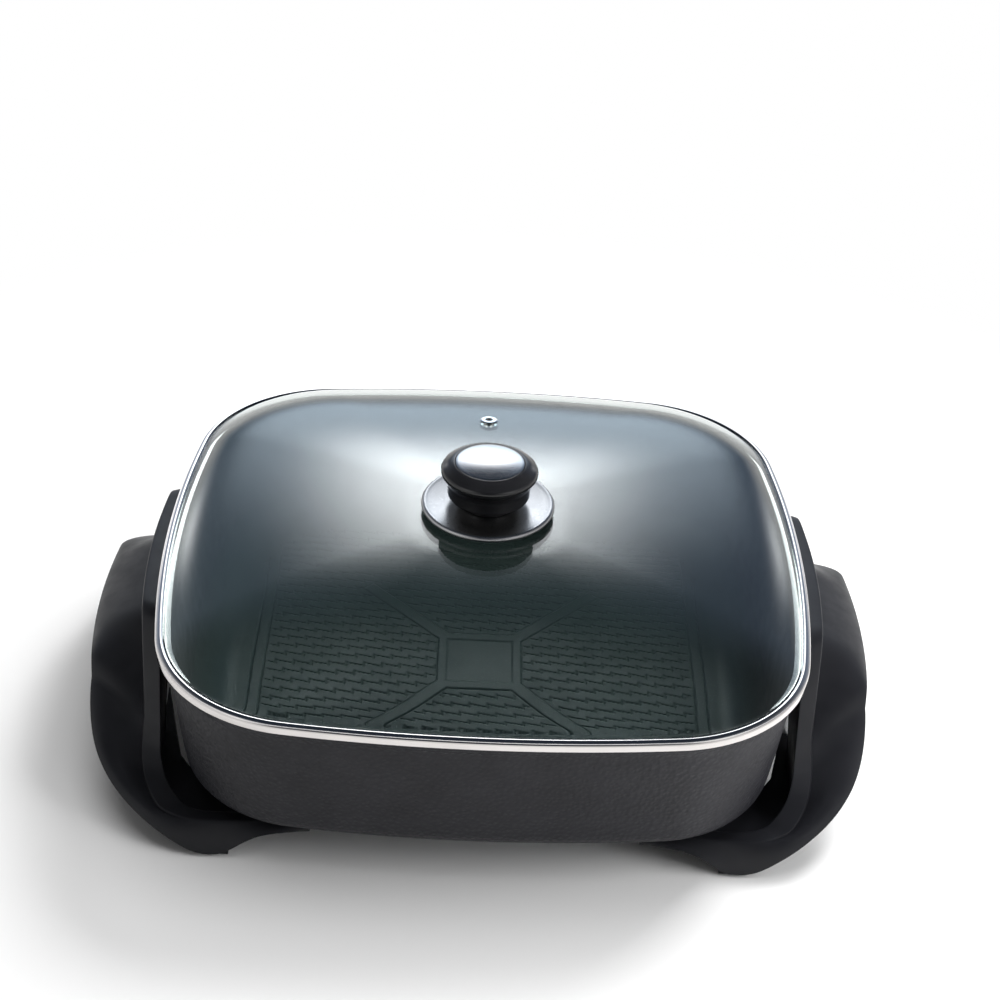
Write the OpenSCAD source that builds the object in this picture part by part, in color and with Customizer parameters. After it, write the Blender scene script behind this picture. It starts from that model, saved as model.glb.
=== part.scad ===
// Electric skillet: a deep cast pan on two moulded side brackets, with a loose domed glass lid.
// Millimetres. X runs left to right, Y front to back, Z up; the feet stand on Z = 0.

/* [Pan] */
// Gap between the ground and the underside of the pan
ground_gap = 20; // [19:0.5:26]
// Width of the pan over its rim
pan_w = 322; // [300:1:345]
// Depth of the pan over its rim, front to back
pan_d = 312; // [295:1:335]
// Height of the pan from its underside to its rim
pan_h = 75; // [68:1:88]
// Radius of the rim's corners, seen from above
corner_r = 72.5; // [68:0.5:80]
// How far the left and right sides bow outwards
side_bow = 5.6; // [3:0.2:8]
// How far the front and back bow outwards
front_bow = 4.8; // [3:0.2:8]
// Thickness of the side wall
wall_t = 4; // [3:0.5:5]
// Thickness of the base
base_t = 4.5; // [4:0.5:6]
// Width of the flat top of the rim
rim_w = 3.5; // [3:0.5:4.5]
// Thickness of the rim's outer edge
rim_t = 3.5; // [2.5:0.5:4.5]
// How far the rim stands out from the wall
rim_flare = 3.5; // [2.5:0.5:6]
// Height over which the wall flares out to the rim
flare_h = 7; // [6:0.5:10]
// How far the wall leans in between the flare and the base
wall_draft = 5.5; // [3:0.5:7]
// Outside radius between wall and base
outer_bend_r = 15; // [12:1:18]
// Inside radius between wall and base
inner_bend_r = 22; // [18:1:26]
// Width of the square plaque in the middle of the cooking surface
plaque_w = 45; // [38:1:52]
// Length of the four bars that run out from the plaque
bar_l = 60; // [40:1:64]
// Height of the raised pattern
relief_h = 0.6; // [0.4:0.1:0.8]

/* [Lid] */
// How far the lid's band stands out past the pan's rim
lid_overhang = 3; // [2:0.5:4]
// Thickness of the glass
glass_t = 4; // [3.5:0.5:5]
// Rise of the glass dome above its edge
dome_h = 22.4; // [18:0.2:26]
// Thickness of the steel band
band_t = 0.6; // [0.5:0.1:0.8]
// How far the band reaches in over the glass
band_grip = 3.8; // [3:0.2:5]
// Depth of the lip that centres the lid in the pan
lip_drop = 2.5; // [2:0.5:4]
// Running gap between the lid and the pan
lid_gap = 0.3; // [0.2:0.05:0.5]
// Half width of the flat seat in the middle of the glass
seat_half = 38; // [36:1:44]
// Distance of the steam vent from the middle of the lid
vent_y = 94; // [80:1:110]
// Bore of the steam vent
vent_bore = 4.2; // [3:0.2:5]
// Outer diameter of the vent's flange
vent_flange_d = 9.6; // [9:0.2:11]

/* [Knob] */
// Outer diameter of the plate under the knob
plate_d = 68; // [62:1:72]
// Thickness of the plate's sheet
plate_t = 0.8; // [0.6:0.1:1.2]
// Height of the plate's rolled edge
plate_roll_h = 3.4; // [2.8:0.2:3.6]
// Thickness of the gasket between plate and glass
upper_gasket_t = 4; // [3:0.5:5]
// Diameter of the knob's neck
neck_d = 29.8; // [26:0.2:33]
// Height of the knob's neck
neck_h = 4.2; // [3:0.1:7]
// Diameter of the knob's collar
collar_d = 41.8; // [38:0.2:45]
// Height of the collar up to the cap
collar_h = 8.3; // [6:0.1:10]
// Diameter of the knob's cap
cap_d = 49.2; // [46:0.2:54]
// Height of the cap above the collar
cap_h = 11; // [9:0.5:14]
// Diameter of the steel disc in the cap
disc_d = 34.8; // [30:0.2:38]
// Crown of the steel disc
disc_crown = 1.7; // [1:0.1:2.5]

/* [Brackets] */
// Distance of a handle's inner face from the pan's rim
bracket_gap = 1; // [0.6:0.1:2]
// How far a handle reaches out from its inner face
handle_reach = 37.5; // [34:0.5:46]
// Width of the raised band beside the pan
raised_w = 11; // [8:0.5:12]
// Drop from the rim to the top of the raised band
raised_drop = 4; // [2:0.5:6]
// Wall thickness of the moulding
moulding_t = 4.5; // [4:0.25:5]
// Distance of a leg's front face from the middle
leg_y = 133.5; // [130:0.5:136]
// Width of a leg where it passes under the pan, front to back
leg_d = 14; // [13:0.5:16]
// Distance of a foot from the middle, left to right
foot_x = 127; // [122:1:130]
// Width of a foot's pad
foot_w = 14; // [10:0.5:15]
// How far the tip of a leg curves back from the leg's front face
tip_bow = 6; // [2:0.5:8]
// Where the gusset across a corner ends: its X plus Y, seen from above
gusset_reach = 227; // [222:1:232]
// How far from the middle the gusset's slanted edge begins
gusset_y = 75.3; // [72:0.1:78]
// Where a leg's tip ends under the pan
tip_x = 81; // [76:1:86]
// Where a bracket's inner and outer edges begin to turn round the corner
turn_y_in = 88; // [84:1:90]
turn_y_out = 59; // [54:1:62]
// How far the inner and outer edges move across while they turn
turn_r_in = 26; // [24:1:28]
turn_r_out = 62; // [58:1:66]

/* [Fixings] */
// Thread diameter of the screws
screw_d = 5; // [4:0.5:5]
// Head diameter of the screws
head_d = 9; // [8:0.5:10]
// Head height of the screws
head_h = 3; // [2.5:0.25:3.25]
// Outer diameter of the washers
washer_d = 12; // [11:0.5:14]
// Thickness of the washers
washer_t = 1.2; // [1:0.1:1.6]
// Gap between a screw and the hole that takes it
thread_gap = 0.05; // [0.03:0.01:0.1]
// Distance of a bracket's screws from the middle, left to right
screw_x = 106; // [100:1:108]
// Distance of a bracket's screws from the middle, front to back
screw_y = 96; // [90:1:98]
// Thickness of the ledge that a bracket's screw holds
ledge_t = 5.5; // [4:0.5:6]

/* [Heating] */
// Diameter of the heating element's sheath
sheath_d = 8; // [7:0.25:8.5]
// Half width of the element's loop
loop_x = 95; // [88:1:98]
// Half depth of the element's loop
loop_y = 85; // [78:1:88]
// Bend radius of the loop's corners
loop_r = 45; // [38:1:50]
// Distance between the two terminal pins
pin_pitch = 32; // [30:0.5:36]
// Diameter of a terminal pin
pin_d = 4.8; // [4:0.1:5]
// Length of a terminal pin outside its insulator
pin_l = 20; // [16:0.5:24]
// Bore of the sleeve for the temperature probe
probe_bore = 6.4; // [6:0.1:6.6]
// Length of the probe sleeve
probe_l = 30; // [26:0.5:36]

/* [Hidden] */
$fn = 64;

quarter = 18;                   // points on a quarter of the outline of the pan and the lid
bend_steps = 6;                 // steps in a bend of the pan's section
dome_steps = 9;                 // steps from the edge of the dome to its seat
leg_steps = 24;                 // stations from the middle of a handle to the tip of a leg
rim_z = ground_gap + pan_h;     // top of the pan's rim

// ---- shared shapes ----

// The outline seen from above is eight arcs that meet smoothly: four corners and four shallow
// sides. Each size below belongs to the pan's rim; other outlines are set in or out from it.
half = [pan_w / 2, pan_d / 2];
corner = [half[0] - corner_r - side_bow, half[1] - corner_r - front_bow];
side_r = (pow(corner_r + side_bow, 2) + pow(corner[1], 2) - pow(corner_r, 2)) / (2 * side_bow);
front_r = (pow(corner_r + front_bow, 2) + pow(corner[0], 2) - pow(corner_r, 2)) / (2 * front_bow);
side_turn = atan2(corner[1], corner[0] - half[0] + side_r);         // where a side meets a corner
front_turn = 90 - atan2(corner[0], corner[1] - half[1] + front_r);  // where a corner meets the front

// Points of the outline at height z, set in by inset and then scaled by share
turns = [for (k = [0:quarter])
    k < 3 ? side_turn * k / 3 :
    k < quarter - 3 ? side_turn + (front_turn - side_turn) * (k - 3) / (quarter - 6) :
    front_turn + (90 - front_turn) * (k - quarter + 3) / 3];
function place(turn, inset) =
    let (way = [cos(turn), sin(turn)])
    turn <= side_turn ? [half[0] - side_r, 0] + (side_r - inset) * way :
    turn < front_turn ? corner + (corner_r - inset) * way :
    [0, half[1] - front_r] + (front_r - inset) * way;
function outline(inset, z, share = 1) =
    [for (q = [0:3], k = [0:quarter - 1])
        let (p = place(turns[q % 2 == 0 ? k : quarter - k], inset) * share)
        [q == 0 || q == 3 ? p[0] : -p[0], q < 2 ? p[1] : -p[1], z]];

// Points along an arc in a plane
function arc(cx, cy, r, from, to, steps) =
    [for (k = [0:steps])
        let (a = from + (to - from) * k / steps) [cx + r * cos(a), cy + r * sin(a)]];

// Triangles that fill a ring of n points which has no hollow side
function fan(n) = [for (j = [1:n - 2]) [0, j, j + 1]];

// Skin over a list of rings with equally many points. Its two ends are filled with the triangles
// listed in cap; with no cap the last ring joins the first.
module skin(rings, cap = []) {
    size = len(rings[0]);
    total = len(rings) * size;
    spans = cap == [] ? len(rings) : len(rings) - 1;
    sides = [for (i = [0:spans - 1], j = [0:size - 1])
        let (a = i * size + j, b = i * size + (j + 1) % size,
             c = (a + size) % total, d = (b + size) % total)
        each [[a, c, d], [a, d, b]]];
    far = total - size;
    ends = [for (t = cap) each [t, [far + t[2], far + t[1], far + t[0]]]];
    polyhedron([for (ring = rings) each ring], concat(sides, ends));
}

// Ring of a bore: a tube along Z
module tube(r_out, r_in, h) {
    difference() {
        cylinder(r = r_out, h = h);
        translate([0, 0, -1]) cylinder(r = r_in, h = h + 2);
    }
}

// Pan-head screw that points up, its head's bearing face at Z = 0
module screw(length) {
    slot_w = 1.4;
    slot_l = head_d * 0.6;
    slot_h = head_h * 0.55;
    difference() {
        union() {
            translate([0, 0, -head_h * 0.5]) cylinder(d = head_d, h = head_h * 0.5);
            translate([0, 0, -head_h]) cylinder(d1 = head_d * 0.72, d2 = head_d, h = head_h * 0.5);
            cylinder(d = screw_d, h = length);
        }
        for (turn = [0, 90]) rotate(turn)
            translate([-slot_l / 2, -slot_w / 2, -head_h - 1]) cube([slot_l, slot_w, slot_h + 1]);
    }
}

// Four places, one at each of a bracket's screws
module at_bracket_screws() {
    for (sx = [-1, 1], sy = [-1, 1]) translate([sx * screw_x, sy * screw_y, 0]) children();
}

// ---- pan ----

wall_in = rim_flare + wall_draft;
boss_z = ground_gap - 6;                      // underside of the cast bosses
boss_d = washer_d + 4;
cast_z = ground_gap + base_t - 0.5;           // top of what is cast on, inside the base
element_z = ground_gap - 5;                   // middle of the heating element
rib_w = sheath_d + 6;
rib_z = element_z - sheath_d / 2 + 2;         // underside of the rib that holds the element
floor_z = ground_gap + base_t;

// Section of the pan as [inset from the rim, height], up the outside and down the inside
pan_section = concat(
    arc(wall_in + outer_bend_r, outer_bend_r, outer_bend_r, 270, 180, bend_steps),
    [[rim_flare, pan_h - flare_h],
     [rim_flare * 0.45, pan_h - rim_t - (flare_h - rim_t) * 0.3],
     [0.6, pan_h - rim_t], [0, pan_h - rim_t + 0.6], [0, pan_h - 0.8], [0.8, pan_h],
     [rim_w, pan_h], [rim_flare + wall_t, pan_h - flare_h]],
    arc(wall_in + wall_t + inner_bend_r, base_t + inner_bend_r, inner_bend_r,
        180, 270, bend_steps));

// Raised pattern in the middle of the cooking surface
module floor_relief() {
    translate([0, 0, floor_z - 0.5]) linear_extrude(0.5 + relief_h) {
        difference() {
            square([plaque_w, plaque_w], center = true);
            square([plaque_w - 10, plaque_w - 10], center = true);
        }
        for (turn = [45:90:315]) rotate(turn)
            translate([plaque_w * 0.62, -3.5]) square([bar_l, 7]);
    }
}

// The element's route, each stretch swept with the 2D child: X outwards, Y up
lead_r = 20;
lead_x = loop_x + lead_r;
lead_end = half[0] - wall_in - 4;          // where the sheath ends and the insulator begins
module along_element(end_x) {
    lead_y = pin_pitch / 2;
    for (side = [-1, 1]) mirror([0, side > 0 ? 1 : 0, 0]) {
        stretch([lead_x, -lead_y], [end_x, -lead_y]) children();
        bend([lead_x, -lead_y - lead_r], lead_r, 90, 180) children();
        stretch([loop_x, -loop_y + loop_r], [loop_x, -lead_y - lead_r]) children();
        bend([loop_x - loop_r, -loop_y + loop_r], loop_r, 270, 360) children();
        stretch([-loop_x + loop_r, -loop_y], [loop_x - loop_r, -loop_y]) children();
        bend([-loop_x + loop_r, -loop_y + loop_r], loop_r, 180, 270) children();
        stretch([-loop_x, -loop_y + loop_r], [-loop_x, 0]) children();
    }
}

module bend(centre, r, from, to) {
    translate([centre[0], centre[1], 0]) rotate(from)
        rotate_extrude(angle = to - from) translate([r, 0]) children();
}

module stretch(from, to) {
    run = to - from;
    translate([from[0], from[1], 0]) rotate(atan2(run[1], run[0]))
        rotate([90, 0, 90]) linear_extrude(norm(run)) children();
}

probe_z = element_z;
sleeve_d = probe_bore + 1.6;
sleeve_x = lead_end + 8 - probe_l;            // inner end of the probe sleeve
probe_boss_w = pin_pitch - rib_w + 1;
guard_screw_x = lead_end - 14;
guard_screw_y = pin_pitch / 2 + rib_w / 2 + 8;
guard_t = 1.5;
guard_screw_l = 2.4 * screw_d;
guard_floor_z = 5;                            // underside of the guard's floor
guard_boss_z = guard_floor_z + guard_t;

module pan_body() {
    color([0.24, 0.24, 0.26]) difference() {
        union() {
            skin([for (p = pan_section) outline(p[0], ground_gap + p[1])], fan(4 * quarter));
            floor_relief();
            at_bracket_screws() translate([0, 0, boss_z]) cylinder(d = boss_d, h = cast_z - boss_z);
            along_element(lead_end - 4) translate([-rib_w / 2, rib_z])
                square([rib_w, cast_z - rib_z]);
            translate([sleeve_x - 2, -probe_boss_w / 2, probe_z - sleeve_d / 2 - 2])
                cube([lead_end - 4 - sleeve_x + 2, probe_boss_w,
                      cast_z - probe_z + sleeve_d / 2 + 2]);
            for (side = [-1, 1])
                translate([guard_screw_x, side * guard_screw_y, guard_boss_z])
                    cylinder(d = head_d + 3, h = cast_z - guard_boss_z);
        }
        along_element(lead_end + 1) translate([0, element_z]) circle(d = sheath_d + 2 * thread_gap);
        at_bracket_screws() translate([0, 0, boss_z - 1])
            cylinder(d = screw_d + 2 * thread_gap, h = ground_gap + 3 - boss_z);
        for (side = [-1, 1]) translate([guard_screw_x, side * guard_screw_y, guard_boss_z - 1])
            cylinder(d = screw_d + 2 * thread_gap, h = 12);
        // square channel for the probe sleeve, open below
        translate([sleeve_x, -sleeve_d / 2 - thread_gap, probe_z - sleeve_d])
            cube([probe_l, sleeve_d + 2 * thread_gap, 1.5 * sleeve_d + thread_gap]);
    }
}

// ---- heating ----

module heating_element() {
    color([0.55, 0.54, 0.52]) along_element(lead_end) translate([0, element_z]) circle(d = sheath_d);
}

insulator_l = 7;
insulator_d = sheath_d + 2;
root_d = pin_d - 0.8;                         // the pin inside its insulator

module at_terminals() {
    for (side = [-1, 1]) translate([lead_end, side * pin_pitch / 2, element_z])
        rotate([0, 90, 0]) children();
}

module terminal_insulators() {
    color([0.93, 0.92, 0.88]) at_terminals() {
        tube(insulator_d / 2, root_d / 2 + thread_gap, insulator_l);
    }
}

module terminal_pins() {
    color([0.78, 0.78, 0.76]) at_terminals() {
        cylinder(d = root_d, h = insulator_l + 1);
        translate([0, 0, insulator_l + 0.5]) cylinder(d = pin_d, h = pin_l - 1.5);
        translate([0, 0, insulator_l + pin_l - 1]) cylinder(d1 = pin_d, d2 = pin_d - 2, h = 1);
    }
}

module probe_sleeve() {
    color([0.75, 0.66, 0.42]) translate([sleeve_x, 0, probe_z]) rotate([0, 90, 0])
        difference() {
            cylinder(d = sleeve_d, h = probe_l);
            translate([0, 0, 1.5]) cylinder(d = probe_bore, h = probe_l);
        }
}

guard_back_x = lead_end + 2;                  // inner face of the guard's back
guard_front_x = lead_end + insulator_l + pin_l + 1;
guard_half_y = guard_screw_y + head_d / 2 + 2;
guard_top_z = element_z + 12;

module terminal_guard() {
    cavity_h = guard_top_z - guard_floor_z - 2 * guard_t;
    color([0.72, 0.73, 0.74]) difference() {
        union() {
            translate([guard_back_x, -guard_half_y, guard_floor_z])
                cube([guard_front_x - guard_back_x, 2 * guard_half_y, guard_top_z - guard_floor_z]);
            translate([guard_screw_x - head_d, -guard_half_y, guard_floor_z])
                cube([guard_back_x - guard_screw_x + head_d, 2 * guard_half_y, guard_t]);
        }
        translate([guard_back_x + guard_t, guard_t - guard_half_y, guard_floor_z + guard_t])
            cube([guard_front_x - guard_back_x, 2 * (guard_half_y - guard_t), cavity_h]);
        at_terminals() cylinder(d = insulator_d + 0.6, h = insulator_l);
        translate([guard_back_x - 1, 0, probe_z]) rotate([0, 90, 0])
            cylinder(d = sleeve_d + 0.6, h = guard_t + 2);
        for (side = [-1, 1]) translate([guard_screw_x, side * guard_screw_y, guard_floor_z - 1])
            cylinder(d = screw_d + 0.6, h = guard_t + 2);
    }
}

module guard_screws() {
    color([0.7, 0.7, 0.7]) for (side = [-1, 1])
        translate([guard_screw_x, side * guard_screw_y, guard_floor_z - 0.8]) screw(guard_screw_l);
}

module guard_washers() {
    color([0.75, 0.75, 0.75]) for (side = [-1, 1])
        translate([guard_screw_x, side * guard_screw_y, guard_floor_z - 0.8])
            tube(head_d / 2 + 0.5, screw_d / 2 + 0.25, 0.8);
}

// ---- brackets ----

// Each bracket is one strip that runs from a tip under the pan's front, round the foot, up over
// the handle and down to the back. A station s runs from 0 at the middle of the handle to 1 where
// the corner begins, 2 where it ends and 3 at the tip. The inner and the outer edge have their
// own routes in plan, and tables of [s, height] give the heights.
handle_x = half[0] + bracket_gap;
route_in = [handle_x - 0.5, 4.5, turn_y_in, turn_r_in, leg_y - leg_d];
route_out = [handle_x + handle_reach - 0.5, 5, turn_y_out, turn_r_out, leg_y];

// Point in plan of a route [x at the middle, bow, y of the corner, corner radius, y of the leg],
// whose tip curves back by bow_back
function plan_point(route, s, bow_back = 0) =
    let (side_x = route[0] - route[1])
    s <= 1 ? [side_x + route[1] * (1 - s * s), -route[2] * s] :
    s <= 2 ? [side_x - route[3] * (1 - cos(90 * (s - 1))),
              -route[2] - (route[4] - route[2]) * sin(90 * (s - 1))] :
    [side_x - route[3] + (tip_x - side_x + route[3]) * (s - 2),
     bow_back * pow(s - 2, 2) - route[4]];

// Heights above the ground along a bracket, read from the tables and eased over their corners
ease = 0.07;
function height(table, s) =
    (lookup(abs(s - ease), table) + 2 * lookup(s, table) + lookup(abs(s + ease), table)) / 4;

top_z = rim_z - raised_drop;
web_z = ground_gap - 2;                       // top of the web under the pan
ledge_z = boss_z;                             // top of the ledge that the screws hold
foot_lift = 0.4;                              // the strip's lower edge above the feet's pads
raised_top = [[0, top_z], [0.66, top_z], [0.72, top_z - 4], [0.82, top_z - 16],
              [0.95, top_z - 37], [1.1, top_z - 54], [1.35, web_z + 9], [1.7, web_z + 1],
              [2, web_z], [3, web_z]];
raised_step = [[0, 18], [0.5, 18], [0.9, 9], [1.15, 2], [1.3, 0.6], [3, 0.6]];
shoulder = [[0, top_z - 21], [0.45, top_z - 21.5], [0.7, top_z - 27], [1, top_z - 37.5],
            [1.25, web_z + 24], [1.5, web_z + 14], [1.75, web_z + 4], [2, web_z - 5.5],
            [2.2, web_z - 7], [2.42, web_z - 4], [2.66, web_z - 1.5], [3, web_z - 0.4]];
outer_edge = [[0, top_z - 34], [0.4, top_z - 34.5], [0.75, top_z - 39], [1, top_z - 45],
              [1.25, web_z + 17], [1.5, web_z + 8.5], [1.75, 17.5], [1.92, 8.5], [2.02, 4],
              [2.2, 4], [2.3, 7.5], [2.42, 12], [2.54, 14.5], [2.66, web_z - 2.5],
              [3, web_z - 1.5]];
arch_z = guard_top_z + 6;                     // top of the arch, clear of the terminal guard
outer_foot = [[0, arch_z + 4], [0.5, arch_z + 4.5], [0.9, arch_z + 7], [1, arch_z + 7],
              [1.25, web_z + 13], [1.5, web_z + 5], [1.75, 14], [1.92, 4], [1.98, foot_lift],
              [2.2, foot_lift], [2.3, 4.5], [2.42, 9], [2.54, 12], [2.66, 13], [3, 13.3]];
ledge_low = ledge_z - ledge_t;
inner_foot = [[0, arch_z], [0.44, arch_z - 2], [0.56, web_z + 2], [0.66, ledge_low],
              [3, ledge_low]];

// Closed section of a bracket at station s, as points on the right-hand side
function bracket_ring(s) =
    let (back = s < 0, u = abs(s),
         inner = plan_point(route_in, u), outer = plan_point(route_out, u, tip_bow),
         width = norm(outer - inner), way = (outer - inner) / width,
         raised = min(raised_w, width * 0.5), ledge = max(width * 0.72, width - 8),
         t = min(moulding_t, width * 0.3),
         z_top = height(raised_top, u), z_step = z_top - height(raised_step, u),
         z_shoulder = height(shoulder, u), z_edge = height(outer_edge, u),
         z_out = min(height(outer_foot, u), z_edge - 1), z_in = height(inner_foot, u),
         section = [[0, z_in], [0, z_top], [raised, z_top], [raised + 0.8, z_step],
                    [ledge, z_shoulder], [width, z_edge], [width - 0.5, z_out],
                    [width - t, z_out], [width - t, min(z_edge, z_shoulder - t)],
                    [ledge - 2, min(z_shoulder, z_step) - t], [t, z_step - t], [t, z_in]])
    [for (p = section) let (q = inner + way * p[0]) [q[0], back ? -q[1] : q[1], p[1]]];

// Gusset that fills a corner under the pan, as points on the right-hand side at the front. Its
// edge leaves the inner wall just in front of the handle and crosses the corner on a slant.
gusset_from = 0.67;
gusset_to = 2.5;
function in_wall(s) =
    let (inner = plan_point(route_in, s), outer = plan_point(route_out, s, tip_bow))
    inner + 2 * (outer - inner) / norm(outer - inner);
gusset = let (start = plan_point(route_in, gusset_from))
    concat([[start[0] - 3.6, start[1] - 1], [gusset_reach - gusset_y, -gusset_y],
            [gusset_reach - leg_y + leg_d, leg_d - leg_y]],
           [for (k = [8:-1:0]) in_wall(gusset_from + (gusset_to - gusset_from) * k / 8)]);

module bracket() {
    difference() {
        union() {
            skin([for (k = [leg_steps:-1:-leg_steps]) bracket_ring(3 * k / leg_steps)],
                 [[0, 1, 10], [0, 10, 11], [1, 2, 10], [2, 3, 10], [3, 9, 10], [3, 4, 9],
                  [4, 8, 9], [4, 5, 8], [5, 7, 8], [5, 6, 7]]);
            for (side = [-1, 1]) mirror([0, side > 0 ? 0 : 1, 0]) {
                // pad that stands on the ground
                translate([foot_x - foot_w / 2, leg_d - leg_y, 0]) rotate([90, 0, 90])
                    linear_extrude(foot_w) polygon([[-0.5, 0], [2.5 - leg_d, 0],
                        [2.5 - leg_d, 5], [5 - leg_d, 9], [-0.5, 9]]);
                // gusset, and the ledge under the pan's boss
                translate([0, 0, ledge_low]) linear_extrude(ledge_t) polygon(gusset);
                translate([screw_x, -screw_y, ledge_low]) cylinder(d = boss_d, h = ledge_t);
                translate([screw_x - boss_d / 2, leg_d - leg_y - 2, ledge_low])
                    cube([boss_d, leg_y - leg_d + 2 - screw_y, ledge_t]);
            }
        }
        for (side = [-1, 1]) translate([screw_x, side * screw_y, 0])
            cylinder(d = screw_d + 0.6, h = ground_gap);
    }
}

module left_bracket() { color([0.1, 0.1, 0.11]) mirror([1, 0, 0]) bracket(); }

module right_bracket() { color([0.1, 0.1, 0.11]) bracket(); }

bracket_screw_z = ledge_low - washer_t;   // bearing face of a bracket screw's head

module bracket_screws() {
    color([0.7, 0.7, 0.7]) at_bracket_screws() translate([0, 0, bracket_screw_z])
        screw(ground_gap + 1.5 - bracket_screw_z);
}

module bracket_washers() {
    color([0.75, 0.75, 0.75]) at_bracket_screws() translate([0, 0, bracket_screw_z])
        tube(washer_d / 2, screw_d / 2 + 0.25, washer_t);
}

// ---- lid ----

band_fit = 0.05;                              // gap between the band and the glass
lid_z = rim_z + lid_gap;                      // underside of the lid's band
band_h = glass_t + 2 * (band_t + band_fit);
glass_z = band_t + band_fit;                  // underside of the glass above the band's underside
// how far in the centring lip is, to clear the slope inside the pan's rim
lip_in = lid_overhang + rim_w + lip_drop * (rim_flare + wall_t - rim_w) / flare_h + lid_gap;
dome_in = band_grip + 0.8 - lid_overhang;     // where the dome rises, in from the pan's rim
dome_half = half - [dome_in, dome_in];
dome_last = acos(seat_half / dome_half[0]);   // how far up the curve the seat is
glass_edge_z = lid_z + glass_z;               // underside of the glass at its edge
glass_top_z = glass_edge_z + glass_t + dome_h * sin(dome_last);
glass_under_z = glass_top_z - glass_t;

// Rings of one side of the dome, from its edge up to the seat
function dome_rings(inset, z) =
    [for (k = [0:dome_steps])
        let (climb = dome_last * pow(k / dome_steps, 1.15))
        outline(inset, z + dome_h * sin(climb), cos(climb))];

vent_share = vent_y / dome_half[1];
vent_drop = sqrt(1 - vent_share * vent_share);
vent_tilt = atan(dome_h * vent_share / vent_drop / dome_half[1]);
vent_z = glass_edge_z + glass_t + dome_h * vent_drop;
vent_stem_d = vent_bore + 1.6;

module at_vent() {
    translate([0, vent_y, vent_z]) rotate([-vent_tilt, 0, 0]) children();
}

module lid_glass() {
    edge_in = band_t + band_fit - lid_overhang;
    outside = dome_rings(dome_in, glass_edge_z + glass_t);
    inside = dome_rings(dome_in + glass_t, glass_edge_z);
    color([0.75, 0.87, 0.86, 0.35]) difference() {
        skin(concat([for (k = [dome_steps:-1:0]) inside[k]],
                    [outline(edge_in, glass_edge_z), outline(edge_in, glass_edge_z + glass_t)],
                    outside),
             fan(4 * quarter));
        translate([0, 0, glass_under_z - 5]) cylinder(d = screw_d + 3, h = glass_t + 10);
        at_vent() translate([0, 0, -glass_t - 3]) cylinder(d = vent_stem_d + 0.3, h = glass_t + 6);
    }
}

module lid_rim_band() {
    soft = band_t * 0.9;
    // section as [inset from the band's outside, height], up the outside and back inside
    section = [[0, soft], [0, band_h - soft], [soft, band_h], [band_grip, band_h],
               [band_grip, band_h - band_t], [band_t, band_h - band_t], [band_t, band_t],
               [lip_in + band_t, band_t], [lip_in + band_t, -lip_drop], [lip_in, -lip_drop],
               [lip_in, 0], [soft, 0]];
    color([0.8, 0.8, 0.79]) skin([for (p = section) outline(p[0] - lid_overhang, lid_z + p[1])]);
}

module vent_eyelet() {
    flange_t = 0.9;
    seat = 0.15;                              // stands clear of the curved glass
    under = glass_t + 0.5;
    color([0.82, 0.82, 0.8]) at_vent() difference() {
        union() {
            translate([0, 0, seat]) cylinder(d = vent_flange_d, h = flange_t * 0.6);
            translate([0, 0, seat + flange_t * 0.6])
                cylinder(d1 = vent_flange_d, d2 = vent_flange_d - 1.6, h = flange_t * 0.4);
            translate([0, 0, -under - flange_t]) cylinder(d = vent_stem_d, h = under + flange_t + seat + 0.1);
            translate([0, 0, -under - flange_t]) cylinder(d = vent_flange_d - 1, h = flange_t);
        }
        translate([0, 0, -under - 3]) cylinder(d = vent_bore, h = under + 6);
    }
}

// ---- knob ----

plate_z = glass_top_z + upper_gasket_t;       // underside of the plate
knob_z = plate_z + plate_t;                   // underside of the knob's neck
collar_z = knob_z + neck_h;
cap_z = collar_z + collar_h;
knob_top_z = cap_z + cap_h;
insert_d = screw_d + 4;
insert_h = 14;
disc_sink = 2.5;                              // depth of the recess that holds the disc

module knob_upper_gasket() {
    color([0.15, 0.15, 0.15]) translate([0, 0, glass_top_z])
        tube(plate_d / 2 - 8, screw_d / 2 + 1, upper_gasket_t);
}

module knob_plate() {
    r = plate_d / 2;
    roll = plate_roll_h / 2;
    roll_z = plate_t + 0.4 - roll;            // middle of the rolled edge
    color([0.8, 0.8, 0.79]) translate([0, 0, plate_z]) rotate_extrude($fn = 128) {
        translate([r - roll, roll_z]) difference() {
            circle(r = roll);
            circle(r = roll - plate_t);
            translate([-roll - 1, -roll - 1]) square([roll + 1, 2 * roll + 0.9 - plate_t * 0.5]);
        }
        polygon([[screw_d / 2 + 0.5, 0], [r - 2.4 * roll, 0], [r - roll, 0.4],
                 [r - roll + 0.01, 0.4 + plate_t], [r - 2.4 * roll, plate_t],
                 [screw_d / 2 + 0.5, plate_t]]);
    }
}

module knob_body() {
    neck = neck_d / 2;
    collar = collar_d / 2;
    cap = cap_d / 2;
    disc = disc_d / 2 + 0.3;
    rise = neck_h + collar_h;
    profile = concat([[0, 0], [neck - 0.5, 0], [neck, 0.5], [neck, neck_h]],
        arc(collar - 2, neck_h + 2, 2, 270, 360, 5),
        [[collar, rise]],
        arc(cap - 2.7, rise + cap_h - 4.9, 2.7, -50, 65, 9),
        [[disc + 0.3, rise + cap_h], [disc, rise + cap_h - 0.3],
         [disc, rise + cap_h - disc_sink], [0, rise + cap_h - disc_sink]]);
    color([0.07, 0.07, 0.07]) translate([0, 0, knob_z]) difference() {
        rotate_extrude($fn = 96) polygon(profile);
        translate([0, 0, -1]) cylinder(d = insert_d + 2 * thread_gap, h = insert_h + 1);
    }
}

module knob_insert() {
    color([0.8, 0.66, 0.35]) translate([0, 0, knob_z])
        tube(insert_d / 2, screw_d / 2 + thread_gap, insert_h);
}

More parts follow.
